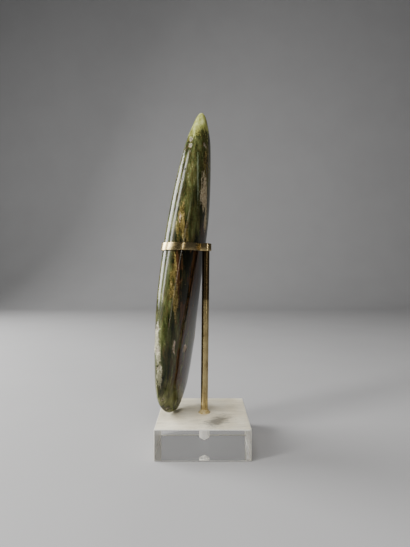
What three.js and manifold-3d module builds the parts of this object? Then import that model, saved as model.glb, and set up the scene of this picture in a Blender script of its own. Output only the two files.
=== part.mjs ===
// A polished jadeite axe head that stands on its cutting edge, pointed butt up, on a small display stand.
// The stand is a clear acrylic block with a blind hole drilled in its top, a thin brass rod set in
// that hole, and a flat brass band that goes round the axe head and round the top of the rod.
//
// Frame: millimetres, +Z up, +X to the right, +Y to the back.
// The origin is the middle of the block's underside.

import * as THREE from "three";
import { mergeVertices } from "three/addons/utils/BufferGeometryUtils.js";
import Module from "manifold-3d";

// ---- driving dimensions -------------------------------------------------------------------

// Acrylic block, cut from 20 mm sheet.
const BLOCK_SIDE = 60;
const BLOCK_HEIGHT = 19.4;

// Drilled hole for the rod, with the cone that the drill's point leaves.
const HOLE_RADIUS = 3.3;
const HOLE_STRAIGHT_DEPTH = 12.6;
const HOLE_POINT_DEPTH = 2;
const HOLE_X = 0.95;

// Brass rod, which leans a little to the right.
const ROD_RADIUS = 2.5;
const ROD_DEPTH_IN_BLOCK = 12;
const ROD_TOP = 115.9;
const ROD_FOOT_X = 0.85;
const ROD_LEAN = THREE.MathUtils.degToRad(0.62);
const ROD_CHAMFER = 0.4;

// Brass band: a flat strip on edge. Heights are above the block.
const BAND_BOTTOM = 110.6;
const BAND_HEIGHT = 5;
const BAND_THICKNESS = 0.9;
const BAND_CLEARANCE = 0.35;
const ROD_CLEARANCE = 0.35;

// Axe head. Its breadth is turned from the line of sight (Y) towards X, and it leans back.
const AXE_GAP_UNDER_EDGE = 0.3;
const AXE_TURN = THREE.MathUtils.degToRad(18);
const AXE_FOOT_Y = 2.2;
const AXE_BACK_LEAN = 0.033;
const AXE_LENGTH = 207.9;
const EDGE_ARC_RISE = 30;
const BUTT_ROUND = 6;

// The section is an ellipse with its sine and cosine raised to powers: a wedge at the cutting
// edge, and a squared oval with flattish narrow sides from the height where the bevel has run out.
const FLANK_POWER_AT_EDGE = 2;
const SIDE_POWER_AT_EDGE = 1;
const BODY_POWER = 0.8;
const BEVEL_RUN_OUT = 45;

// A flat ground on the right flank, low down: a point on it as [along the breadth, across the
// thickness, height above the edge], and the way it faces in the same terms.
const GROUND_FLAT_POINT = [6, 6.7, 11];
const GROUND_FLAT_FACING = [0.3, 0.85, -0.42];

// Stations up the axe head: [height above the edge, middle along X, half thickness, half breadth].
const AXE_STATIONS = [
  [0, -20, 0.8, 27],
  [8, -21.5, 7.1, 27],
  [18, -20.9, 7.5, 27],
  [30, -20.1, 8.3, 26.6],
  [48, -18.8, 9, 26.4],
  [72, -17.2, 10.8, 25.2],
  [100, -14.2, 11.7, 23.3],
  [130, -10.2, 12.1, 20.5],
  [158, -6.8, 11, 15.8],
  [178, -4.3, 9.1, 11.6],
  [190, -2.9, 7.5, 8],
  [200, -1.6, 4.6, 5.2],
  [AXE_LENGTH, -0.9, 2.5, 2.4],
];

const AROUND = 64;
const STEPS_PER_STATION = 4;

// ---- helpers ------------------------------------------------------------------------------

const wasm = await Module();
wasm.setup();

function solidFrom(geometry) {
  const bare = new THREE.BufferGeometry();
  bare.setAttribute("position", geometry.getAttribute("position"));
  if (geometry.index) bare.setIndex(geometry.index);
  const merged = mergeVertices(bare, 1e-4);
  const mesh = new wasm.Mesh({
    numProp: 3,
    vertProperties: merged.attributes.position.array,
    triVerts: new Uint32Array(merged.index.array),
  });
  return new wasm.Manifold(mesh);
}

function geometryFrom(solid) {
  const { numProp, vertProperties, triVerts } = solid.getMesh();
  const geometry = new THREE.BufferGeometry();
  geometry.setAttribute("position", new THREE.BufferAttribute(vertProperties, numProp));
  geometry.setIndex(new THREE.BufferAttribute(triVerts, 1));
  geometry.computeVertexNormals();
  return geometry;
}

function namedMesh(name, geometry, material) {
  const mesh = new THREE.Mesh(geometry, material);
  mesh.name = name;
  return mesh;
}

// A closed skin through rings that all have the same number of points, counter-clockwise seen
// from above and in rising order, with a flat fan over the first ring and over the last.
function loftGeometry(rings) {
  const count = rings[0].length;
  const positions = [];
  const indices = [];
  for (const ring of rings) {
    for (const point of ring) positions.push(point.x, point.y, point.z);
  }
  for (let level = 0; level + 1 < rings.length; level += 1) {
    for (let i = 0; i < count; i += 1) {
      const a = level * count + i;
      const b = level * count + ((i + 1) % count);
      indices.push(a, b, b + count, a, b + count, a + count);
    }
  }
  const ends = [rings[0], rings[rings.length - 1]];
  ends.forEach((ring, end) => {
    const first = end === 0 ? 0 : (rings.length - 1) * count;
    const middle = new THREE.Vector3();
    for (const point of ring) middle.addScaledVector(point, 1 / count);
    const hub = positions.length / 3;
    positions.push(middle.x, middle.y, middle.z);
    for (let i = 0; i < count; i += 1) {
      const a = first + i;
      const b = first + ((i + 1) % count);
      if (end === 0) indices.push(hub, b, a);
      else indices.push(hub, a, b);
    }
  });
  const geometry = new THREE.BufferGeometry();
  geometry.setAttribute("position", new THREE.Float32BufferAttribute(positions, 3));
  geometry.setIndex(indices);
  geometry.computeVertexNormals();
  return geometry;
}

// ---- axe head -----------------------------------------------------------------------------

function splineOf(column) {
  return new THREE.SplineCurve(AXE_STATIONS.map((row) => new THREE.Vector2(row[0], row[column])));
}

const middleCurve = splineOf(1);
const thicknessCurve = splineOf(2);
const breadthCurve = splineOf(3);

// The rounding of an end of the given length: 0 at its very end, 1 where the end's arc has run out.
function endArc(distance, length) {
  const left = 1 - THREE.MathUtils.clamp(distance / length, 0, 1);
  return Math.sqrt(1 - left * left);
}

// The axe head's section where t runs from 0 at the edge to 1 at the butt.
function axeSection(t) {
  const middle = middleCurve.getPoint(t);
  const height = middle.x;
  const butt = endArc(AXE_LENGTH - height, BUTT_ROUND);
  const bevel = THREE.MathUtils.clamp(height / BEVEL_RUN_OUT, 0, 1);
  return {
    height,
    x: middle.y,
    y: AXE_FOOT_Y + AXE_BACK_LEAN * height,
    halfThickness: thicknessCurve.getPoint(t).y * butt,
    halfBreadth: breadthCurve.getPoint(t).y * endArc(height, EDGE_ARC_RISE) * butt,
    flankPower: THREE.MathUtils.lerp(FLANK_POWER_AT_EDGE, BODY_POWER, bevel),
    sidePower: THREE.MathUtils.lerp(SIDE_POWER_AT_EDGE, BODY_POWER, bevel),
  };
}

// The axe head's section at a height above the block.
function sectionAt(heightAboveBlock) {
  let low = 0;
  let high = 1;
  for (let i = 0; i < 30; i += 1) {
    const t = (low + high) / 2;
    if (middleCurve.getPoint(t).x + AXE_GAP_UNDER_EDGE < heightAboveBlock) low = t;
    else high = t;
  }
  return axeSection(low);
}

function signedPower(value, power) {
  return Math.sign(value) * Math.abs(value) ** power;
}

// The section's outline, pushed out by offset, as points in world space.
function sectionRing(section, offset) {
  const across = (angle) => section.halfBreadth * signedPower(Math.cos(angle), section.sidePower);
  const out = (angle) => section.halfThickness * signedPower(Math.sin(angle), section.flankPower);
  const ring = [];
  for (let i = 0; i < AROUND; i += 1) {
    const angle = (-2 * Math.PI * i) / AROUND;
    const step = Math.PI / AROUND;
    const along = new THREE.Vector2(
      across(angle - step) - across(angle + step),
      out(angle - step) - out(angle + step),
    ).normalize();
    const point = turned([
      across(angle) - along.y * offset,
      out(angle) + along.x * offset,
      BLOCK_HEIGHT + AXE_GAP_UNDER_EDGE + section.height,
    ]);
    point.x += section.x;
    point.y += section.y;
    ring.push(point);
  }
  return ring;
}

// From the axe head's own terms (along its breadth, across its thickness, up) to the world's.
function turned([along, across, up]) {
  const x = along * Math.sin(AXE_TURN) + across * Math.cos(AXE_TURN);
  const y = along * Math.cos(AXE_TURN) - across * Math.sin(AXE_TURN);
  return new THREE.Vector3(x, y, up);
}

// A block that takes away all that stands proud of the ground flat.
function groundFlatCutter() {
  const size = 60;
  const height = GROUND_FLAT_POINT[2];
  const middle = sectionAt(height + AXE_GAP_UNDER_EDGE);
  const facing = turned(GROUND_FLAT_FACING).normalize();
  const cutter = new THREE.BoxGeometry(size, size, size);
  cutter.translate(0, 0, size / 2);
  cutter.applyQuaternion(new THREE.Quaternion().setFromUnitVectors(new THREE.Vector3(0, 0, 1), facing));
  const at = turned(GROUND_FLAT_POINT);
  cutter.translate(middle.x + at.x, middle.y + at.y, BLOCK_HEIGHT + AXE_GAP_UNDER_EDGE + at.z);
  return solidFrom(cutter);
}

function makeAxeHead() {
  const steps = (AXE_STATIONS.length - 1) * STEPS_PER_STATION;
  const rings = [];
  for (let i = 0; i <= steps; i += 1) {
    const nearEnd = 0.04;
    const t = THREE.MathUtils.clamp(i / steps, nearEnd / steps, 1 - nearEnd / steps);
    rings.push(sectionRing(axeSection(t), 0));
  }
  const jade = new THREE.MeshStandardMaterial({ color: 0x46502a, roughness: 0.18, metalness: 0 });
  const ground = solidFrom(loftGeometry(rings)).subtract(groundFlatCutter());
  return namedMesh("axe_head", geometryFrom(ground), jade);
}

// ---- stand --------------------------------------------------------------------------------

const brass = new THREE.MeshStandardMaterial({ color: 0xa9925a, roughness: 0.35, metalness: 1 });

function rodCentre(heightAboveBlock) {
  const x = ROD_FOOT_X + Math.tan(ROD_LEAN) * heightAboveBlock;
  return new THREE.Vector3(x, 0, BLOCK_HEIGHT + heightAboveBlock);
}

function makeRod() {
  const bottom = -ROD_DEPTH_IN_BLOCK;
  const profile = [
    new THREE.Vector2(0, bottom),
    new THREE.Vector2(ROD_RADIUS - ROD_CHAMFER, bottom),
    new THREE.Vector2(ROD_RADIUS, bottom + ROD_CHAMFER),
    new THREE.Vector2(ROD_RADIUS, ROD_TOP - ROD_CHAMFER),
    new THREE.Vector2(ROD_RADIUS - ROD_CHAMFER, ROD_TOP),
    new THREE.Vector2(0, ROD_TOP),
  ];
  const rod = namedMesh("rod", new THREE.LatheGeometry(profile, 32), brass);
  rod.rotation.x = Math.PI / 2;
  const lean = new THREE.Group();
  lean.position.copy(rodCentre(0));
  lean.rotation.y = ROD_LEAN;
  lean.add(rod);
  return lean;
}

// The axe head's part of the band, filled in: the sections just under and over it, pushed out.
function filledLoop(offset, overshoot) {
  const bottom = BAND_BOTTOM - overshoot;
  const top = BAND_BOTTOM + BAND_HEIGHT + overshoot;
  const levels = [bottom, top];
  return solidFrom(loftGeometry(levels.map((level) => sectionRing(sectionAt(level), offset))));
}

// The rod's part of the band, filled in: a round end about the rod, with straight sides that run
// back into the axe head.
function filledLobe(radius, overshoot) {
  const reach = 5;
  const shape = new THREE.Shape();
  shape.absarc(0, 0, radius, -Math.PI / 2, Math.PI / 2, false);
  shape.lineTo(-reach, radius);
  shape.lineTo(-reach, -radius);
  const depth = BAND_HEIGHT + 2 * overshoot;
  const geometry = new THREE.ExtrudeGeometry(shape, {
    depth,
    bevelEnabled: false,
    curveSegments: 20,
  });
  geometry.rotateZ(-AXE_TURN);
  const middle = rodCentre(BAND_BOTTOM + BAND_HEIGHT / 2);
  geometry.translate(middle.x, middle.y, BLOCK_HEIGHT + BAND_BOTTOM - overshoot);
  return solidFrom(geometry);
}

function makeBand() {
  const overshoot = 1;
  const lobeInside = ROD_RADIUS + ROD_CLEARANCE;
  const outside = filledLoop(BAND_CLEARANCE + BAND_THICKNESS, 0)
    .add(filledLobe(lobeInside + BAND_THICKNESS, 0));
  const inside = filledLoop(BAND_CLEARANCE, overshoot).add(filledLobe(lobeInside, overshoot));
  return namedMesh("clip_band", geometryFrom(outside.subtract(inside)), brass);
}

function makeBlock() {
  const block = new THREE.BoxGeometry(BLOCK_SIDE, BLOCK_SIDE, BLOCK_HEIGHT);
  block.translate(0, 0, BLOCK_HEIGHT / 2);
  const overshoot = 1;
  const profile = [
    new THREE.Vector2(0, -HOLE_STRAIGHT_DEPTH - HOLE_POINT_DEPTH),
    new THREE.Vector2(HOLE_RADIUS, -HOLE_STRAIGHT_DEPTH),
    new THREE.Vector2(HOLE_RADIUS, overshoot),
    new THREE.Vector2(0, overshoot),
  ];
  const hole = new THREE.LatheGeometry(profile, 48);
  hole.rotateX(Math.PI / 2);
  hole.translate(HOLE_X, 0, BLOCK_HEIGHT);
  const acrylic = new THREE.MeshStandardMaterial({
    color: 0xe4dfcf,
    roughness: 0.08,
    metalness: 0,
    transparent: true,
    opacity: 0.35,
  });
  const drilled = solidFrom(block).subtract(solidFrom(hole));
  return namedMesh("base_block", geometryFrom(drilled), acrylic);
}

const axeOnStand = new THREE.Group();
axeOnStand.add(makeBlock(), makeRod(), makeBand(), makeAxeHead());

export default axeOnStand;
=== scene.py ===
"""A polished jadeite axe head, upright on its display stand: clear acrylic block, brass rod and
brass band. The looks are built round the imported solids, in metres, in the same frame."""

import math

import bmesh
import bpy
import numpy as np
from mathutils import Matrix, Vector


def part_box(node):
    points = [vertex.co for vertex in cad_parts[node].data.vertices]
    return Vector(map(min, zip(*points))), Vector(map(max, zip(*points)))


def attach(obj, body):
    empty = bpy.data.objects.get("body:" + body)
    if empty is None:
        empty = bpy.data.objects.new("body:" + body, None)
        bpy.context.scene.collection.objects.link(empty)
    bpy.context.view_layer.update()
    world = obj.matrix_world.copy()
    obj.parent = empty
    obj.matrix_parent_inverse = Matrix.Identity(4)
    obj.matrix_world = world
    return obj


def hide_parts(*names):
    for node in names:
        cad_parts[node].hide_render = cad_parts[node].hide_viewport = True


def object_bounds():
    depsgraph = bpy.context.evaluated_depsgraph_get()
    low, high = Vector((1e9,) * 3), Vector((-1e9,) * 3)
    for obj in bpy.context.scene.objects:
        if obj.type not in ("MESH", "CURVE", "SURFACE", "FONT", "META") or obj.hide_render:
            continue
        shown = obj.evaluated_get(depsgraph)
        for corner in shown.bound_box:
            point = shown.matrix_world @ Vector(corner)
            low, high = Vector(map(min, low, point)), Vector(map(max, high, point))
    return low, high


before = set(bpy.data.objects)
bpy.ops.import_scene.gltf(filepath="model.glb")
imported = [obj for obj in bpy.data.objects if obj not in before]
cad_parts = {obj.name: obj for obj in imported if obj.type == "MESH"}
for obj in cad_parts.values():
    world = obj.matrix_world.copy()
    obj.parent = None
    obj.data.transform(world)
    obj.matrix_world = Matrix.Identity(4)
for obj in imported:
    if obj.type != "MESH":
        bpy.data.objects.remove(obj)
cad_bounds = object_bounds()

MM = 0.001
BLOCK_LOW, BLOCK_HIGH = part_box("base_block")
BLOCK_TOP = BLOCK_HIGH.z

# The same turn of the axe head's breadth, from the depth axis towards +X, as in the solids.
AXE_TURN = math.radians(18)


# ---- numbers without shape: seeded noise over points in millimetres ------------------------

NOISE_CELLS = 32
noise_source = np.random.RandomState(7)
NOISE_TABLE = noise_source.rand(NOISE_CELLS, NOISE_CELLS, NOISE_CELLS)


def soft_noise(points, size, shift=0.0):
    """Smooth noise from 0 to 1 whose lumps are about `size` millimetres across."""
    p = points / size + shift
    cell = np.floor(p).astype(int)
    f = p - cell
    f = f * f * (3 - 2 * f)
    total = np.zeros(len(points))
    for corner in range(8):
        step = np.array([corner & 1, corner >> 1 & 1, corner >> 2 & 1])
        i, j, k = ((cell + step) % NOISE_CELLS).T
        weight = np.prod(np.where(step, f, 1 - f), axis=1)
        total += weight * NOISE_TABLE[i, j, k]
    return total


def layered_noise(points, size, shift=0.0, layers=3):
    """Several octaves of soft noise, still about 0 to 1."""
    total = np.zeros(len(points))
    weight_sum = 0.0
    for layer in range(layers):
        weight = 0.5 ** layer
        total += weight * soft_noise(points, size * weight, shift + 3.7 * layer)
        weight_sum += weight
    return total / weight_sum


def smooth_step(low, high, value):
    t = np.clip((value - low) / (high - low), 0, 1)
    return t * t * (3 - 2 * t)


# ---- mesh helpers -------------------------------------------------------------------------

def node_points(name):
    """A node's vertices as an array, in metres."""
    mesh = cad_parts[name].data
    points = np.empty(len(mesh.vertices) * 3)
    mesh.vertices.foreach_get("co", points)
    return points.reshape(-1, 3)


def ring_skin(name, rings, smooth_angle=None):
    """A closed mesh through rings of equal length, rising, each counter-clockwise from above,
    with one point in the middle of each end."""
    rings = np.asarray(rings)
    levels, count = rings.shape[:2]
    ends = np.array([rings[0].mean(0), rings[-1].mean(0)])
    points = np.concatenate([rings.reshape(-1, 3), ends])
    faces = []
    for level in range(levels - 1):
        for i in range(count):
            a = level * count + i
            b = level * count + (i + 1) % count
            faces.append((a, b, b + count, a + count))
    low_hub = levels * count
    for i in range(count):
        after = (i + 1) % count
        faces.append((low_hub, after, i))
        faces.append((low_hub + 1, (levels - 1) * count + i, (levels - 1) * count + after))
    mesh = bpy.data.meshes.new(name)
    mesh.from_pydata(points.tolist(), [], faces)
    piece = bpy.data.objects.new(name, mesh)
    bpy.context.scene.collection.objects.link(piece)
    mesh.shade_smooth()
    if smooth_angle is not None:
        mesh.set_sharp_from_angle(angle=smooth_angle)
    return piece


def settle(piece, node, slot_name, *materials):
    """Gives a piece its materials and its place on the stand's one body."""
    for material in materials:
        piece.data.materials.append(material)
    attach(piece, "root")
    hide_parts(node)
    return piece


# ---- material helpers ---------------------------------------------------------------------

def new_material(name):
    """A material with its Principled shader, and a function that adds a node to it."""
    material = bpy.data.materials.new(name)
    material.use_nodes = True
    tree = material.node_tree

    def add(kind, inputs=None, **settings):
        node = tree.nodes.new(kind)
        for key, value in settings.items():
            setattr(node, key, value)
        for key, value in (inputs or {}).items():
            if isinstance(value, bpy.types.NodeSocket):
                tree.links.new(value, node.inputs[key])
            else:
                node.inputs[key].default_value = value
        return node

    return material, tree.nodes["Principled BSDF"], add, tree.links.new


def millimetre_coordinates(add, stretch=(1, 1, 1)):
    """Object coordinates in millimetres, squeezed along each axis by `stretch`."""
    scale = [1000 * s for s in stretch]
    place = add("ShaderNodeTexCoord").outputs["Object"]
    return add("ShaderNodeMapping", {"Vector": place, "Scale": scale}).outputs["Vector"]


def noise_node(add, vector, size, detail=4.0, roughness=0.55, distortion=0.0):
    settings = {
        "Vector": vector,
        "Scale": 1 / size,
        "Detail": detail,
        "Roughness": roughness,
        "Distortion": distortion,
    }
    return add("ShaderNodeTexNoise", settings).outputs["Fac"]


def ramp(add, value, stops, interpolation="LINEAR"):
    """A colour ramp. Each stop is (position, colour or grey value)."""
    node = add("ShaderNodeValToRGB", {"Fac": value})
    node.color_ramp.interpolation = interpolation
    elements = node.color_ramp.elements
    while len(elements) < len(stops):
        elements.new(0.5)
    for element, (position, colour) in zip(elements, stops):
        element.position = position
        rgb = (colour,) * 3 if isinstance(colour, (int, float)) else colour
        element.color = (*rgb, 1)
    return node.outputs["Color"]


def math_node(add, operation, a, b=0.0, clamp=False):
    return add("ShaderNodeMath", {0: a, 1: b}, operation=operation, use_clamp=clamp).outputs[0]


def mix_colour(add, factor, a, b, blend="MIX"):
    node = add("ShaderNodeMix", data_type="RGBA", blend_type=blend)
    tree = node.id_data
    for key, value in ((0, factor), (6, a), (7, b)):
        if isinstance(value, bpy.types.NodeSocket):
            tree.links.new(value, node.inputs[key])
        else:
            node.inputs[key].default_value = value if key == 0 else (*value, 1)
    return node.outputs[2]


def field_mask(add, name, breakup, low, high):
    """A vertex field turned into a ragged-edged mask: the breakup noise eats into its rim."""
    field = add("ShaderNodeAttribute", attribute_name=name).outputs["Fac"]
    ragged = math_node(add, "MULTIPLY", math_node(add, "SUBTRACT", breakup, 0.5), 3.0)
    value = math_node(add, "ADD", field, ragged)
    return add(
        "ShaderNodeMapRange",
        {"Value": value, "From Min": low, "From Max": high},
        interpolation_type="SMOOTHSTEP",
    ).outputs["Result"]


# ---- the axe head -------------------------------------------------------------------------

AXE_ROWS = 396
AXE_AROUND = 240

# Places on the axe head are millimetres: x and y of the frame, and the height above the block.
# Each patch is (place, half sizes across, deep and up).
TAN_CRUST = [
    ((0.8, -2, 146), (3, 5, 15)),
    ((1.6, 3, 132), (1.6, 4, 9)),
    ((-9, 24, 60), (6, 8, 16)),
]
GOLD_STAIN = [
    ((-13.2, -13.6, 126), (3.6, 4, 15)),
    ((-19.2, -17.6, 93), (2.2, 3, 17)),
    ((-17.2, -18.2, 76), (2, 3, 9)),
    ((-14, 16, 120), (5, 9, 22)),
    ((1.6, 1, 169), (2, 4, 9)),
]
PINK_FLAKES = [
    ((-8.4, 0.2, 186), (1.5, 2.6, 3.6)),
    ((-8.8, -0.8, 181.4), (1, 2, 2.4)),
    ((1.3, 0, 183.2), (1.8, 2.2, 1.6)),
    ((-14.8, -13.4, 130), (0.8, 2.4, 12)),
    ((-18.4, -17, 48), (1.3, 3, 5.5)),
    ((-12.2, -4, 44.5), (3.2, 5, 3)),
]
RED_BROWN = [
    ((-14, -6, 33), (7, 14, 17)),
    ((-12, -8, 62), (6, 12, 20)),
    ((-15.5, -16, 84), (3, 5, 26)),
    ((-6, -4, 96), (6, 10, 20)),
    ((0.6, 1, 126), (2.4, 6, 16)),
    ((-16, 22, 75), (9, 9, 26)),
]
WHITE_RIND = [
    ((-29.6, -19.3, 54), (1.6, 3, 13)),
    ((-28.6, -21, 43), (2, 2.4, 8)),
    ((-27.6, -22, 32), (1.8, 2, 8)),
    ((-8, 28, 32), (5, 5, 16)),
]
PALE_END = [
    ((-23, -14, 16), (9, 11, 15)),
    ((-22, 4, 4), (8, 16, 10)),
]
GREY_FLAT = [((-14.6, -1, 12.5), (3.4, 9, 9))]
# A painted reflection: a faint grey-green line where something narrow and bright is mirrored down the
# face turned to the camera.
PAINTED_SHEEN_LINE = [((-3.4, -6.5, 158), (0.7, 5, 32))]

# Bites out of the surface: (place, radius, depth).
CHIPS = [
    ((-8.2, 0.6, 187), 2.2, 0.5),
    ((-8.8, -1, 181.8), 1.8, 0.4),
    ((1.7, 0.2, 182.6), 2.2, 0.6),
    ((-2.2, -1.6, 190.5), 1.5, 0.25),
    ((-22.4, -11.5, 4.4), 2.4, 0.7),
    ((-19, -8, 3.2), 2.6, 0.8),
    ((-25.4, -18.2, 14), 2, 0.5),
    ((-18.5, 12, 1.8), 2.4, 0.6),
    ((-12.4, -4, 44.5), 3.2, 0.3),
    ((-18.4, -17, 47), 2.2, 0.35),
    ((-29.7, -18.8, 60), 2.4, 0.4),
    ((-29, -20.4, 46), 2.4, 0.45),
    ((-28, -21.6, 36), 2, 0.4),
    ((-13.8, 26, 96), 3, 0.5),
]


def gaussian(values, sigma, axis, wrap):
    """Smooths along an axis. At an open end the values carry on in a straight line."""
    reach = int(3 * sigma)
    weights = np.exp(-0.5 * (np.arange(-reach, reach + 1) / sigma) ** 2)
    weights /= weights.sum()
    values = np.moveaxis(values, axis, 0)
    if wrap:
        padded = np.concatenate([values[-reach:], values, values[:reach]])
    else:
        before = 2 * values[0] - values[reach:0:-1]
        after = 2 * values[-1] - values[-2:-reach - 2:-1]
        padded = np.concatenate([before, values, after])
    out = sum(w * padded[k:k + len(values)] for k, w in enumerate(weights))
    return np.moveaxis(out, 0, axis)


def row_heights(low, high):
    """Heights that crowd together towards both ends."""
    s = (np.arange(AXE_ROWS) + 0.5) / AXE_ROWS
    spacing = 0.1 + 0.9 * smooth_step(0, 0.07, np.minimum(s, 1 - s))
    run = np.cumsum(spacing) - spacing / 2
    return low + (high - low) * run / spacing.sum()


def outline_at(edges, height):
    """Where the edges of a solid cross a height, as points in plan."""
    below, above = edges[:, 0], edges[:, 1]
    crossing = (below[:, 2] - height) * (above[:, 2] - height) < 0
    below, above = below[crossing], above[crossing]
    t = (height - below[:, 2]) / (above[:, 2] - below[:, 2])
    return (below + t[:, None] * (above - below))[:, :2]


def axe_grid():
    """The solid's form as fine rings: sliced, read off round each slice and smoothed a little,
    so that the solid's facets go and its lines stay."""
    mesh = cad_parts["axe_head"].data
    points = node_points("axe_head")
    pairs = np.empty(len(mesh.edges) * 2, int)
    mesh.edges.foreach_get("vertices", pairs)
    edges = points[pairs.reshape(-1, 2)]
    along = np.array([math.sin(AXE_TURN), math.cos(AXE_TURN)])
    across = np.array([math.cos(AXE_TURN), -math.sin(AXE_TURN)])
    angles = -2 * np.pi * np.arange(AXE_AROUND) / AXE_AROUND
    low, high = points[:, 2].min(), points[:, 2].max()
    heights = row_heights(low, high)
    middles = np.empty((AXE_ROWS, 2))
    halves = np.empty((AXE_ROWS, 2))
    reach = np.empty((AXE_ROWS, AXE_AROUND))
    for row, height in enumerate(heights):
        plan = outline_at(edges, height)
        local = np.stack([plan @ along, plan @ across], axis=1)
        middle = (local.min(0) + local.max(0)) / 2
        half = (local.max(0) - local.min(0)) / 2
        unit = (local - middle) / half
        at = np.arctan2(unit[:, 1], unit[:, 0])
        order = np.argsort(at)
        far = np.hypot(unit[:, 0], unit[:, 1])[order]
        reach[row] = np.interp(angles, at[order], far, period=2 * np.pi)
        middles[row] = middle
        halves[row] = half
    middles = gaussian(middles, 5, 0, wrap=False)
    halves = np.sqrt(np.maximum(gaussian(halves ** 2, 4, 0, wrap=False), 1e-10))
    reach = gaussian(gaussian(reach, 2.2, 1, wrap=True), 3.5, 0, wrap=False)
    u = middles[:, :1] + halves[:, :1] * reach * np.cos(angles)
    v = middles[:, 1:] + halves[:, 1:] * reach * np.sin(angles)
    grid = np.empty((AXE_ROWS, AXE_AROUND, 3))
    grid[..., :2] = u[..., None] * along + v[..., None] * across
    grid[..., 2] = heights[:, None]
    return grid


def grid_normals(grid):
    """Outward unit normals of rings of points."""
    round_step = np.roll(grid, -1, 1) - np.roll(grid, 1, 1)
    up_step = np.gradient(grid, axis=0)
    normals = np.cross(round_step, up_step)
    return normals / np.maximum(np.linalg.norm(normals, axis=-1, keepdims=True), 1e-12)


def patch_field(places, patches, wobble):
    """1 in the middle of each patch, 0 away from them, with wandering outlines."""
    field = np.zeros(len(places))
    for centre, sizes in patches:
        far = np.linalg.norm((places - centre) / sizes, axis=1)
        field = np.maximum(field, np.exp(-(far ** 2)) * (0.25 + 1.5 * wobble))
    return np.clip(field, 0, 1)


def chip_depth(places):
    """How deep the chips cut, with an uneven floor and a firm rim."""
    depth = np.zeros(len(places))
    uneven = layered_noise(places, 1.6, 5.1)
    for centre, radius, deep in CHIPS:
        far = np.linalg.norm(places - centre, axis=1) / radius + 1.3 * (uneven - 0.5)
        depth = np.maximum(depth, deep * (1 - smooth_step(0.55, 1.0, far)) * (0.7 + 0.6 * uneven))
    return depth


def axe_fields(places):
    """Named fields over the axe head's surface: where each kind of stone shows, where shade is
    painted on the right flank and where a sheen line is painted.
    """
    wobble = smooth_step(0.25, 0.75, layered_noise(places * [1, 1, 0.3], 3.2, 1.3, 4))
    even = np.full(len(places), 0.5)
    tip = smooth_step(181, 203, places[:, 2] + 8 * (wobble - 0.5))
    # Painted shade: the right flank, turned away from the lamps, is darkened below the band, over
    # stone that is darker there too.
    right_flank = smooth_step(-8, 4, places @ [math.cos(AXE_TURN), -math.sin(AXE_TURN), 0.105])
    dark_flank_and_shade = right_flank * smooth_step(128, 104, places[:, 2] + 14 * (wobble - 0.5))
    return {
        "tan_crust": patch_field(places, TAN_CRUST, wobble),
        "gold_stain": patch_field(places, GOLD_STAIN, wobble),
        "pink_flake": patch_field(places, PINK_FLAKES, 1 - wobble),
        "red_brown": patch_field(places, RED_BROWN, wobble),
        "white_rind": patch_field(places, WHITE_RIND, 1 - wobble),
        "pale_end": patch_field(places, PALE_END, wobble),
        "grey_flat": patch_field(places, GREY_FLAT, even),
        "painted_sheen_line": patch_field(places, PAINTED_SHEEN_LINE, even),
        "dark_flank_and_shade": dark_flank_and_shade,
        "pale_tip": tip,
        "chip": np.clip(chip_depth(places) / 0.35, 0, 1),
    }


def axe_relief(places, fields):
    """How far the surface stands in or out, in millimetres: the slow swell of hand grinding,
    pitted and crusted stone where it has weathered, small pits and the chips."""
    swell = 0.22 * (layered_noise(places * [1, 1, 0.35], 16, 2.2, 2) - 0.5)
    facets = 0.08 * (soft_noise(places * [1, 1, 0.14], 5, 8.4) - 0.5)
    worn = np.clip(fields["tan_crust"] + fields["white_rind"] + 0.5 * fields["gold_stain"], 0, 1)
    rough = smooth_step(0.25, 0.6, worn)
    crust = rough * (0.5 * (layered_noise(places * [1, 1, 0.6], 1.7, 4.4) - 0.62))
    pits = -0.22 * smooth_step(0.8, 0.93, soft_noise(places, 1.5, 9.9))
    pits *= smooth_step(0.5, 0.7, layered_noise(places * [1, 1, 0.5], 12, 6.6))
    groove = -0.16 * smooth_step(0.3, 0.7, fields["gold_stain"])
    groove *= smooth_step(0.45, 0.8, soft_noise(places * [1, 1, 0.16], 2.2, 3.3))
    return swell + facets + crust + pits + groove - chip_depth(places)


def make_axe(material):
    grid = axe_grid()
    places = grid.reshape(-1, 3) / MM - [0, 0, BLOCK_TOP / MM]
    fields = axe_fields(places)
    relief = axe_relief(places, fields).reshape(AXE_ROWS, AXE_AROUND)
    slim = np.linalg.norm(grid - grid.mean(1, keepdims=True), axis=2).min(1, keepdims=True) / MM
    relief *= smooth_step(0, 2.5, slim)
    rings = grid + grid_normals(grid) * relief[..., None] * MM
    axe = ring_skin("axe_stone", rings)
    ends = {}
    for name, values in fields.items():
        per_ring = values.reshape(AXE_ROWS, AXE_AROUND)
        ends[name] = (per_ring[0].mean(), per_ring[-1].mean())
        attribute = axe.data.attributes.new(name, "FLOAT", "POINT")
        attribute.data.foreach_set("value", np.append(values, ends[name]).astype(np.float32))
    return settle(axe, "axe_head", "jade", material)


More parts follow.
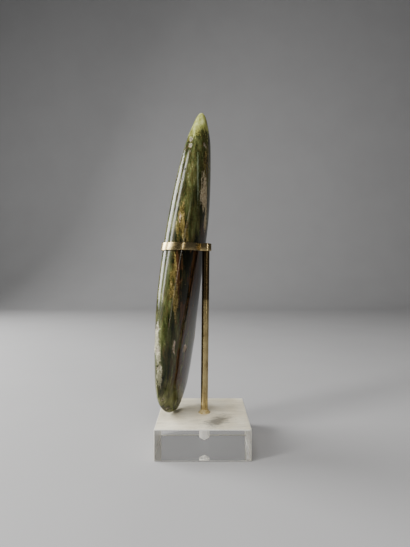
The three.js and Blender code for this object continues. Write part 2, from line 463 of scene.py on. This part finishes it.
def jade_material():
    """Polished jadeite: clouds of dark and mid green drawn along the length, with weathered,
    stained and pale places, painted shade and a painted sheen line set by fields on the mesh."""
    material, shader, add, link = new_material("jadeite")
    even = millimetre_coordinates(add)
    clouds = noise_node(add, millimetre_coordinates(add, (1, 1, 0.35)), 7, 8, 0.62, 0.9)
    streaks = noise_node(add, millimetre_coordinates(add, (1, 1, 0.1)), 2.0, 6, 0.68, 0.4)
    grain = noise_node(add, even, 0.9, 5, 0.72)
    specks = noise_node(add, even, 0.33, 3, 0.7)
    ragged = math_node(add, "ADD", math_node(add, "MULTIPLY", streaks, 0.5),
                       math_node(add, "MULTIPLY", grain, 0.5))
    body_value = math_node(add, "ADD", math_node(add, "MULTIPLY", clouds, 0.65),
                           math_node(add, "MULTIPLY", streaks, 0.35))
    body = ramp(add, body_value, [
        (0.38, (0.008, 0.010, 0.004)),
        (0.46, (0.024, 0.030, 0.008)),
        (0.53, (0.062, 0.073, 0.022)),
        (0.60, (0.115, 0.128, 0.044)),
        (0.70, (0.250, 0.255, 0.115)),
    ])
    speckle = ramp(add, grain, [(0.35, 0.6), (0.5, 1.0), (0.68, 1.5)])
    body = mix_colour(add, 0.85, body, speckle, "MULTIPLY")

    veins = noise_node(add, millimetre_coordinates(add, (1, 1, 0.2)), 5.5, 8, 0.62, 1.6)
    vein_mask = ramp(add, veins, [(0.47, 0.0), (0.5, 0.75), (0.53, 0.0)])
    body = mix_colour(add, vein_mask, body, (0.085, 0.055, 0.018))

    def toned_by_field(colour, name, low, high, tone):
        return mix_colour(add, field_mask(add, name, ragged, low, high), colour, tone)

    # Near-black tone of the painted shade on the right flank, over its darker stone.
    flank_shade_tone = ramp(add, body_value, [
        (0.40, (0.0025, 0.0028, 0.0012)),
        (0.53, (0.011, 0.012, 0.004)),
        (0.66, (0.045, 0.042, 0.014)),
    ])
    body = toned_by_field(body, "dark_flank_and_shade", 0.25, 0.75, flank_shade_tone)
    end_tone = ramp(add, body_value, [
        (0.40, (0.045, 0.048, 0.014)),
        (0.52, (0.130, 0.140, 0.048)),
        (0.64, (0.270, 0.275, 0.130)),
    ])
    body = toned_by_field(body, "pale_end", 0.25, 0.65, end_tone)
    brown_tone = ramp(add, streaks, [(0.40, (0.005, 0.003, 0.0015)), (0.62, (0.095, 0.042, 0.015))])
    body = toned_by_field(body, "red_brown", 0.3, 0.6, brown_tone)
    gold_tone = ramp(add, ragged, [
        (0.43, (0.030, 0.020, 0.007)),
        (0.52, (0.135, 0.105, 0.026)),
        (0.62, (0.44, 0.33, 0.13)),
    ])
    body = toned_by_field(body, "gold_stain", 0.34, 0.62, gold_tone)
    crust_tone = ramp(add, grain, [
        (0.36, (0.050, 0.032, 0.014)),
        (0.48, (0.36, 0.28, 0.155)),
        (0.62, (0.66, 0.57, 0.40)),
    ])
    body = toned_by_field(body, "tan_crust", 0.36, 0.6, crust_tone)
    rind_tone = ramp(add, ragged, [
        (0.38, (0.10, 0.10, 0.055)),
        (0.52, (0.27, 0.26, 0.16)),
        (0.64, (0.66, 0.62, 0.49)),
    ])
    body = toned_by_field(body, "white_rind", 0.4, 0.72, rind_tone)
    flake_tone = ramp(add, grain, [(0.36, (0.20, 0.13, 0.08)), (0.56, (0.60, 0.48, 0.37))])
    body = toned_by_field(body, "pink_flake", 0.55, 1.0, flake_tone)
    body = toned_by_field(body, "grey_flat", 0.4, 0.75, (0.145, 0.145, 0.10))
    # Painted reflection: the faint grey-green sheen line.
    body = toned_by_field(body, "painted_sheen_line", 0.5, 0.85, (0.16, 0.19, 0.12))
    tip_tone = ramp(add, body_value, [
        (0.40, (0.13, 0.115, 0.032)),
        (0.52, (0.29, 0.31, 0.085)),
        (0.62, (0.52, 0.55, 0.24)),
    ])
    body = toned_by_field(body, "pale_tip", 0.25, 0.7, tip_tone)
    chip_tone = ramp(add, grain, [(0.42, (0.07, 0.06, 0.03)), (0.62, (0.50, 0.43, 0.33))])
    body = toned_by_field(body, "chip", 0.55, 1.3, chip_tone)

    worn = math_node(add, "MAXIMUM", field_mask(add, "tan_crust", ragged, 0.3, 0.6),
                     field_mask(add, "white_rind", ragged, 0.3, 0.7))
    worn = math_node(add, "MAXIMUM", worn, field_mask(add, "chip", ragged, 0.3, 0.7))
    polish = ramp(add, clouds, [(0.35, 0.09), (0.7, 0.2)])
    roughness = mix_colour(add, worn, polish, (0.6, 0.6, 0.6))
    bump_height = math_node(add, "ADD", math_node(add, "MULTIPLY", grain, 0.6),
                            math_node(add, "MULTIPLY", specks, 0.4))
    strength = math_node(add, "ADD", math_node(add, "MULTIPLY", worn, 0.5), 0.03)
    bump = add("ShaderNodeBump", {"Height": bump_height, "Strength": strength, "Distance": 0.0004})

    link(body, shader.inputs["Base Color"])
    link(roughness, shader.inputs["Roughness"])
    link(bump.outputs["Normal"], shader.inputs["Normal"])
    shader.inputs["IOR"].default_value = 1.66
    shader.inputs["Specular IOR Level"].default_value = 0.22
    shader.inputs["Subsurface Weight"].default_value = 0.1
    shader.inputs["Subsurface Radius"].default_value = (0.0016, 0.0022, 0.0008)
    shader.inputs["Subsurface Scale"].default_value = 1.0
    return material


# ---- brass --------------------------------------------------------------------------------

def brass_material(name, bright, dull, scratch_stretch, axe_shade_above=None):
    """Handled brass: fine drawn scratches, cloudy tarnish and darker flecks. Above the given
    height it is painted nearly brown, as painted shade from the axe head next to it."""
    material, shader, add, link = new_material(name)
    drawn = millimetre_coordinates(add, scratch_stretch)
    even = millimetre_coordinates(add)
    scratches = noise_node(add, drawn, 0.35, 5, 0.6)
    clouds = noise_node(add, even, 6, 5, 0.6, 0.4)
    flecks = noise_node(add, even, 0.7, 4, 0.65)
    tarnish = ramp(add, clouds, [(0.38, 0.0), (0.66, 0.85)])
    tone = mix_colour(add, tarnish, bright, dull)
    spots = ramp(add, flecks, [(0.62, 0.0), (0.72, 0.7)])
    tone = mix_colour(add, spots, tone, (0.10, 0.068, 0.025))
    if axe_shade_above is not None:
        # Painted shade: the length above the height is darkened to brown for the axe head's shade on
        # the rod.
        height = add("ShaderNodeSeparateXYZ", {"Vector": even}).outputs["Z"]
        wandering = math_node(add, "ADD", height, math_node(add, "MULTIPLY", flecks, 2.5))
        limits = {"Value": wandering, "From Min": axe_shade_above, "From Max": axe_shade_above + 1.6}
        painted_axe_shade = add("ShaderNodeMapRange", {**limits, "To Max": 0.9}).outputs["Result"]
        tone = mix_colour(add, painted_axe_shade, tone, (0.075, 0.048, 0.022))
    roughness = ramp(add, math_node(add, "ADD", math_node(add, "MULTIPLY", scratches, 0.5),
                                    math_node(add, "MULTIPLY", clouds, 0.5)),
                     [(0.35, 0.16), (0.65, 0.32)])
    bump = add("ShaderNodeBump", {"Height": scratches, "Strength": 0.1, "Distance": 0.0001})
    link(tone, shader.inputs["Base Color"])
    link(roughness, shader.inputs["Roughness"])
    link(bump.outputs["Normal"], shader.inputs["Normal"])
    shader.inputs["Metallic"].default_value = 1.0
    return material


def make_rod(material):
    """The rod between the middles of the solid's two ends, with eased ends and the slight
    unevenness of drawn stock, lengthwise."""
    points = node_points("rod")
    end_zone = 0.2 * MM
    foot = points[points[:, 2] < points[:, 2].min() + end_zone].mean(0)
    head = points[points[:, 2] > points[:, 2].max() - end_zone].mean(0)
    axis = (head - foot) / np.linalg.norm(head - foot)
    reach = points - foot
    radius = np.linalg.norm(reach - np.outer(reach @ axis, axis), axis=1).max()
    length = (reach @ axis).max()
    angles = 2 * np.pi * np.arange(64) / 64
    side = np.cross(axis, [0.0, 1.0, 0.0])
    side /= np.linalg.norm(side)
    other = np.cross(axis, side)
    ease = 0.45 * MM
    quarter = np.linspace(0, math.pi / 2, 7)
    stations = [(ease * (1 - math.cos(q)), radius - ease * (1 - math.sin(q))) for q in quarter]
    middle = np.linspace(2 * ease, length - 2 * ease, 150)
    waver = 0.02 * MM * (soft_noise(np.outer(middle / MM, [0, 0, 1]), 9) - 0.5)
    stations += list(zip(middle, radius - abs(waver)))
    stations += [(length - s, r) for s, r in reversed(stations[:len(quarter)])]
    rings = []
    for along, r in stations:
        spread = np.outer(np.cos(angles), side) + np.outer(np.sin(angles), other)
        rings.append(foot + along * axis + r * spread)
    rings = np.array(rings)
    if np.cross(rings[0, 1] - rings[0, 0], rings[0, 2] - rings[0, 1])[2] < 0:
        rings = rings[:, ::-1]
    return settle(ring_skin("brass_rod", rings), "rod", "brass_rod", material)


def make_band(material):
    """The band: the solid's strip with its facets smoothed and its long edges eased."""
    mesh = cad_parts["clip_band"].data.copy()
    mesh.name = "brass_band"
    mesh.materials.clear()
    strip = bmesh.new()
    strip.from_mesh(mesh)
    bmesh.ops.remove_doubles(strip, verts=strip.verts, dist=0.01 * MM)
    bmesh.ops.dissolve_limit(strip, angle_limit=math.radians(1), verts=strip.verts, edges=strip.edges)
    strip.normal_update()
    firm = [e for e in strip.edges if e.is_manifold and e.calc_face_angle() > math.radians(50)]
    bmesh.ops.bevel(strip, geom=firm, offset=0.16 * MM, segments=3, affect="EDGES", profile=0.5)
    bmesh.ops.triangulate(strip, faces=strip.faces)
    strip.to_mesh(mesh)
    strip.free()
    mesh.shade_smooth()
    mesh.set_sharp_from_angle(angle=math.radians(42))
    band = bpy.data.objects.new("brass_band", mesh)
    bpy.context.scene.collection.objects.link(band)
    return settle(band, "clip_band", "brass_band", material)


# ---- the acrylic block --------------------------------------------------------------------

BLOCK_EDGE_EASE = 0.45 * MM
BLOCK_CORNER_RADIUS = 0.5 * MM
CORNER_STEPS = 5
SIDE_STEPS = 15
CLEAR, SATIN_TOP, SATIN_SIDE, EASED, DRILLED = range(5)


def rounded_square(half, corner):
    """A square's outline about the origin with round corners, counter-clockwise."""
    points = []
    for quarter in range(4):
        turn = quarter * math.pi / 2
        start, end = -half + corner, half - corner
        side = [(half, start + (end - start) * i / SIDE_STEPS) for i in range(SIDE_STEPS)]
        for i in range(CORNER_STEPS):
            a = math.pi / 2 * i / CORNER_STEPS
            side.append((end + corner * math.cos(a), end + corner * math.sin(a)))
        c = math.cos(turn)
        s = math.sin(turn)
        points += [(x * c - y * s, x * s + y * c) for x, y in side]
    return np.array(points)


def hole_measures():
    """The drilled hole's middle, radius, the depth of its straight wall and its full depth,
    read off the solid block."""
    points = node_points("base_block")
    inset = 5 * MM
    inside = points[np.abs(points[:, :2]).max(1) < (BLOCK_HIGH.x - inset)]
    rim = inside[inside[:, 2] > BLOCK_TOP - 0.1 * MM]
    middle = (rim[:, :2].min(0) + rim[:, :2].max(0)) / 2
    radius = (rim[:, 0].max() - rim[:, 0].min()) / 2
    point = inside[:, 2].min()
    wall_end = inside[inside[:, 2] > point + 0.1 * MM][:, 2].min()
    return middle, radius, wall_end, point


def make_block(*materials):
    """Rings run from the middle of the underside, out, up the sides, in over the top and down
    the drilled hole, so the block is one closed skin. The front and back are polished, the other
    two sides and the top are rubbed, and the long edges are eased."""
    half = BLOCK_HIGH.x
    ease = BLOCK_EDGE_EASE
    square = rounded_square(half, BLOCK_CORNER_RADIUS)
    directions = square / np.linalg.norm(square, axis=1, keepdims=True)
    hole_middle, hole_radius, wall_end, hole_point = hole_measures()
    rings = []
    kinds = []

    def square_ring(inset, height, kind):
        scale = (half - inset) / half
        rings.append(np.column_stack([square * scale, np.full(len(square), height)]))
        kinds.append(kind)

    def round_ring(radius, height, kind):
        plan = hole_middle + directions * radius
        rings.append(np.column_stack([plan, np.full(len(square), height)]))
        kinds.append(kind)

    square_ring(half * 0.6, BLOCK_LOW.z, CLEAR)
    quarter = np.linspace(0, math.pi / 2, 4)
    for q in quarter:
        square_ring(ease * (1 - math.sin(q)), BLOCK_LOW.z + ease * (1 - math.cos(q)), EASED)
    kinds[-1] = CLEAR
    side_level = len(kinds) - 1
    for q in quarter:
        square_ring(ease * (1 - math.cos(q)), BLOCK_TOP - ease * (1 - math.sin(q)), EASED)
    kinds[-1] = SATIN_TOP
    rim_ease = 0.2 * MM
    round_ring(hole_radius * 2, BLOCK_TOP, SATIN_TOP)
    round_ring(hole_radius + rim_ease, BLOCK_TOP, DRILLED)
    round_ring(hole_radius, BLOCK_TOP - rim_ease, DRILLED)
    wall_top = BLOCK_TOP - rim_ease
    wall_steps = 8
    for i in range(1, wall_steps + 1):
        round_ring(hole_radius, wall_top + (wall_end - wall_top) * i / wall_steps, DRILLED)
    round_ring(hole_radius * 0.1, wall_end + (hole_point - wall_end) * 0.9, DRILLED)
    block = ring_skin("acrylic_block", rings, smooth_angle=math.radians(10))
    count = len(square)
    material_of = np.repeat(kinds[:-1], count).reshape(-1, count)
    place_in_quarter = np.arange(count) % (count // 4)
    quarter_of = np.arange(count) // (count // 4)
    material_of[side_level, (place_in_quarter < SIDE_STEPS) & (quarter_of % 2 == 0)] = SATIN_SIDE
    material_of[side_level, place_in_quarter >= SIDE_STEPS] = EASED
    material_of = np.concatenate([material_of.ravel(), np.tile([CLEAR, DRILLED], count)])
    block.data.polygons.foreach_set("material_index", material_of.astype(np.int32))
    return settle(block, "base_block", "acrylic", *materials)


def acrylic_material():
    """Clear polished acrylic, by plain values on the shader."""
    material, shader, _, _ = new_material("clear_acrylic")
    shader.inputs["Base Color"].default_value = (0.985, 0.985, 0.97, 1)
    shader.inputs["Transmission Weight"].default_value = 1.0
    shader.inputs["IOR"].default_value = 1.49
    shader.inputs["Roughness"].default_value = 0.01
    return material


def rubbed_side_material():
    """The block's sawn sides: rubbed smooth, with faint upright and level marks."""
    material, shader, add, link = new_material("rubbed_acrylic_side")
    marks = noise_node(add, millimetre_coordinates(add, (1, 0.25, 1)), 1.4, 5, 0.65, 0.4)
    tone = ramp(add, marks, [
        (0.36, (0.62, 0.50, 0.33)),
        (0.5, (0.90, 0.86, 0.74)),
        (0.7, (0.97, 0.95, 0.88)),
    ])
    link(tone, shader.inputs["Base Color"])
    shader.inputs["Transmission Weight"].default_value = 0.6
    shader.inputs["IOR"].default_value = 1.49
    shader.inputs["Roughness"].default_value = 0.35
    return material


def eased_edge_material():
    """The block's edges: eased with fine paper and left whitish."""
    material, shader, add, link = new_material("eased_acrylic_edge")
    marks = noise_node(add, millimetre_coordinates(add), 0.8, 4, 0.6)
    tone = ramp(add, marks, [(0.35, (0.80, 0.78, 0.70)), (0.65, (0.96, 0.95, 0.90))])
    link(tone, shader.inputs["Base Color"])
    shader.inputs["Transmission Weight"].default_value = 0.4
    shader.inputs["IOR"].default_value = 1.49
    shader.inputs["Roughness"].default_value = 0.4
    return material


def satin_top_material():
    """The block's top: rubbed and a little cloudy, with long faint streaks and one streaky grey
    patch to the right of the rod's foot."""
    material, shader, add, link = new_material("rubbed_acrylic_top")
    streaks = noise_node(add, millimetre_coordinates(add, (0.1, 1, 1)), 0.9, 6, 0.7)
    clouds = noise_node(add, millimetre_coordinates(add), 14, 4, 0.55)
    tone = ramp(add, clouds, [(0.35, (0.74, 0.67, 0.50)), (0.68, (0.90, 0.85, 0.69))])
    shade = ramp(add, streaks, [(0.32, 0.70), (0.5, 0.98), (0.68, 1.12)])
    tone = mix_colour(add, 0.9, tone, shade, "MULTIPLY")
    # A streaky grey patch to the right of the rod's foot, darkening the top's tone.
    place = add("ShaderNodeTexCoord").outputs["Object"]
    grey_patch_place = add("ShaderNodeMapping", {
        "Vector": place,
        "Location": (0.0095, -0.0155, BLOCK_TOP),
        "Rotation": (0, 0, math.radians(56)),
        "Scale": (0.0155, 0.008, 1),
    }, vector_type="TEXTURE").outputs["Vector"]
    near = add("ShaderNodeVectorMath", {0: grey_patch_place}, operation="LENGTH").outputs["Value"]
    wisps = noise_node(add, millimetre_coordinates(add, (0.3, 1, 1)), 1.6, 6, 0.72, 0.6)
    grey_patch_value = math_node(add, "SUBTRACT", math_node(add, "MULTIPLY", wisps, 2.6), near)
    grey_patch = add(
        "ShaderNodeMapRange",
        {"Value": grey_patch_value, "From Min": 0.2, "From Max": 1.1, "To Max": 0.85},
        interpolation_type="SMOOTHSTEP",
    ).outputs["Result"]
    tone = mix_colour(add, grey_patch, tone, (0.12, 0.11, 0.09))
    roughness = ramp(add, streaks, [(0.35, 0.32), (0.65, 0.5)])
    bump = add("ShaderNodeBump", {"Height": streaks, "Strength": 0.08, "Distance": 0.0001})
    link(tone, shader.inputs["Base Color"])
    link(roughness, shader.inputs["Roughness"])
    link(bump.outputs["Normal"], shader.inputs["Normal"])
    shader.inputs["IOR"].default_value = 1.49
    shader.inputs["Transmission Weight"].default_value = 0.08
    return material


def drilled_material():
    """The hole's wall: scratched white by the drill. Its weak glow stands in for the light that
    reaches it through the acrylic."""
    material, shader, add, link = new_material("drilled_wall")
    turns = noise_node(add, millimetre_coordinates(add, (0.3, 0.3, 1)), 0.4, 4, 0.6)
    tone = ramp(add, turns, [(0.35, (0.86, 0.84, 0.78)), (0.6, (0.99, 0.98, 0.95))])
    bump = add("ShaderNodeBump", {"Height": turns, "Strength": 0.3, "Distance": 0.0002})
    link(tone, shader.inputs["Base Color"])
    link(bump.outputs["Normal"], shader.inputs["Normal"])
    shader.inputs["Roughness"].default_value = 0.6
    shader.inputs["IOR"].default_value = 1.49
    shader.inputs["Emission Color"].default_value = (1.0, 0.98, 0.93, 1)
    shader.inputs["Emission Strength"].default_value = 0.3
    return material


def glue_material():
    """Dried glue: a yellowish clear drop with a glossy skin."""
    material, shader, add, link = new_material("dried_glue")
    cloud = noise_node(add, millimetre_coordinates(add), 1.2, 4, 0.6)
    tone = ramp(add, cloud, [(0.35, (0.50, 0.36, 0.13)), (0.65, (0.86, 0.70, 0.36))])
    link(tone, shader.inputs["Base Color"])
    shader.inputs["Transmission Weight"].default_value = 0.35
    shader.inputs["IOR"].default_value = 1.49
    shader.inputs["Roughness"].default_value = 0.18
    return material


GLUE_REACH = 0.7 * MM
GLUE_HEIGHT = 2.0 * MM
GLUE_SINK = 0.15
GLUE_INNER_RADIUS = 2.4 * MM
GLUE_OVERLAP = 0.15 * MM
GLUE_AROUND = 96

# The bead's hollow curve, as (height, spread): 1 is the full height, and 1 the full reach.
GLUE_PROFILE = [
    (-GLUE_SINK, 1.0),
    (0.0, 1.04),
    (0.12, 0.9),
    (0.3, 0.62),
    (0.55, 0.36),
    (0.8, 0.16),
]


def make_glue(material):
    """The bead of dried glue in the corner between the rod and the block's top: a hollow
    curve that rises to the rod, reaches further in front and has an uneven rim."""
    hole_middle, hole_radius, _, _ = hole_measures()
    rod_points = node_points("rod")
    foot_zone = 0.5 * MM
    foot = rod_points[rod_points[:, 2] < rod_points[:, 2].min() + foot_zone]
    rod_middle = np.array([foot[:, 0].mean(), foot[:, 1].mean(), 0])
    centre = np.array([hole_middle[0], hole_middle[1], 0])
    angles = 2 * np.pi * np.arange(GLUE_AROUND) / GLUE_AROUND
    out = np.column_stack([np.cos(angles), np.sin(angles), np.zeros(GLUE_AROUND)])
    toward_front = np.clip(-out[:, 1], 0, 1) ** 3
    uneven = 0.7 + 0.6 * layered_noise(out * 4, 3.1, 1.7, 2) + 0.55 * toward_front
    full_reach = hole_radius - GLUE_INNER_RADIUS + GLUE_REACH * uneven

    def ring_at(plan, height):
        ring = plan.copy()
        rise = 0.8 + 0.3 * uneven if height > 0.5 else 1.0
        ring[:, 2] = BLOCK_TOP + height * GLUE_HEIGHT * rise
        return ring

    against_rod = rod_middle + out * GLUE_INNER_RADIUS
    rings = [ring_at(against_rod, -GLUE_SINK)]
    for height, spread in GLUE_PROFILE:
        radius = GLUE_INNER_RADIUS + GLUE_OVERLAP + spread * full_reach
        rings.append(ring_at(centre + out * radius[:, None], height))
    rings.append(ring_at(against_rod, 1.0))
    return settle(ring_skin("glue_bead", rings), "rod", "brass_rod", material)


# ---- the room -----------------------------------------------------------------------------

def stage_material(name, colour, variation):
    material, shader, add, link = new_material(name)
    cloud = noise_node(add, millimetre_coordinates(add), 90, 3, 0.5)
    darker = tuple(c * (1 - variation) for c in colour)
    link(ramp(add, cloud, [(0.3, darker), (0.7, colour)]), shader.inputs["Base Color"])
    shader.inputs["Roughness"].default_value = 0.85
    return material


def make_stage():
    """A floor that turns up into a backdrop."""
    half_width = 1.6
    front, back, height, bend = -1.1, 1.3, 1.9, 0.4
    floor_z = cad_bounds[0][2] - 0.0002
    profile = [(front, floor_z), (back - bend, floor_z)]
    for i in range(1, 17):
        a = math.pi / 2 * i / 16
        profile.append((back - bend + bend * math.sin(a), floor_z + bend * (1 - math.cos(a))))
    profile.append((back, height))
    points = [(x, y, z) for y, z in profile for x in (-half_width, half_width)]
    faces = [(2 * i, 2 * i + 1, 2 * i + 3, 2 * i + 2) for i in range(len(profile) - 1)]
    mesh = bpy.data.meshes.new("stage")
    mesh.from_pydata(points, [], faces)
    mesh.shade_smooth()
    stage = bpy.data.objects.new("stage", mesh)
    bpy.context.scene.collection.objects.link(stage)
    mesh.materials.append(stage_material("stage_paper", (0.34, 0.34, 0.35), 0.04))


def soft_panel(name, azimuth, elevation, distance, size, power, colour, glints=True):
    """A soft light that faces the axe head. The azimuth is from the camera's side, to the right.
    Without glints it lights the surfaces but isn't mirrored in them."""
    aim = Vector((-0.008, 0, 0.13))
    a, e = math.radians(azimuth), math.radians(elevation)
    out = Vector((math.sin(a) * math.cos(e), -math.cos(a) * math.cos(e), math.sin(e)))
    light = bpy.data.lights.new(name, "AREA")
    light.shape = "RECTANGLE"
    light.size, light.size_y = size
    light.energy = power
    light.color = colour
    lamp = bpy.data.objects.new(name, light)
    lamp.location = aim + out * distance
    lamp.rotation_euler = out.to_track_quat("Z", "Y").to_euler()
    lamp.visible_glossy = glints
    bpy.context.scene.collection.objects.link(lamp)


def make_lights():
    soft_panel("window_left", -108, 20, 0.9, (0.5, 0.6), 17, (1.0, 0.99, 0.96))
    soft_panel("window_front_left", -60, 28, 0.9, (0.16, 0.7), 8, (1.0, 0.98, 0.94))
    soft_panel("room_left", -70, 12, 1.3, (1.3, 1.0), 6, (0.97, 1.0, 0.96))
    soft_panel("overhead", -15, 66, 0.9, (0.5, 0.3), 7, (1.0, 0.98, 0.95), glints=False)
    soft_panel("strip_right", 34, 8, 1.0, (0.04, 0.6), 1.0, (1.0, 0.93, 0.80))
    world = bpy.data.worlds.new("room")
    world.use_nodes = True
    world.node_tree.nodes["Background"].inputs["Color"].default_value = (0.22, 0.22, 0.225, 1)
    world.node_tree.nodes["Background"].inputs["Strength"].default_value = 0.3
    bpy.context.scene.world = world


def make_camera():
    """Level with the middle of the axe head and close to it, so the block's top is seen."""
    camera = bpy.data.cameras.new("camera")
    camera.lens = 26
    camera.sensor_width = 36
    camera.dof.use_dof = False
    eye = bpy.data.objects.new("camera", camera)
    eye.location = (0.0014, -0.2704, 0.1169)
    eye.rotation_euler = (math.radians(90 - 0.49), 0, 0)
    bpy.context.scene.collection.objects.link(eye)
    bpy.context.scene.camera = eye


make_axe(jade_material())
# Above 97 mm the rod is painted brown as shade from the axe head.
make_rod(brass_material("rod_brass", (0.50, 0.40, 0.19), (0.26, 0.19, 0.08), (1, 1, 0.05), 97))
make_band(brass_material("band_brass", (0.66, 0.53, 0.27), (0.34, 0.25, 0.11), (0.15, 0.15, 1)))
make_block(
    acrylic_material(),
    satin_top_material(),
    rubbed_side_material(),
    eased_edge_material(),
    drilled_material(),
)
make_glue(glue_material())
make_stage()
make_lights()
make_camera()
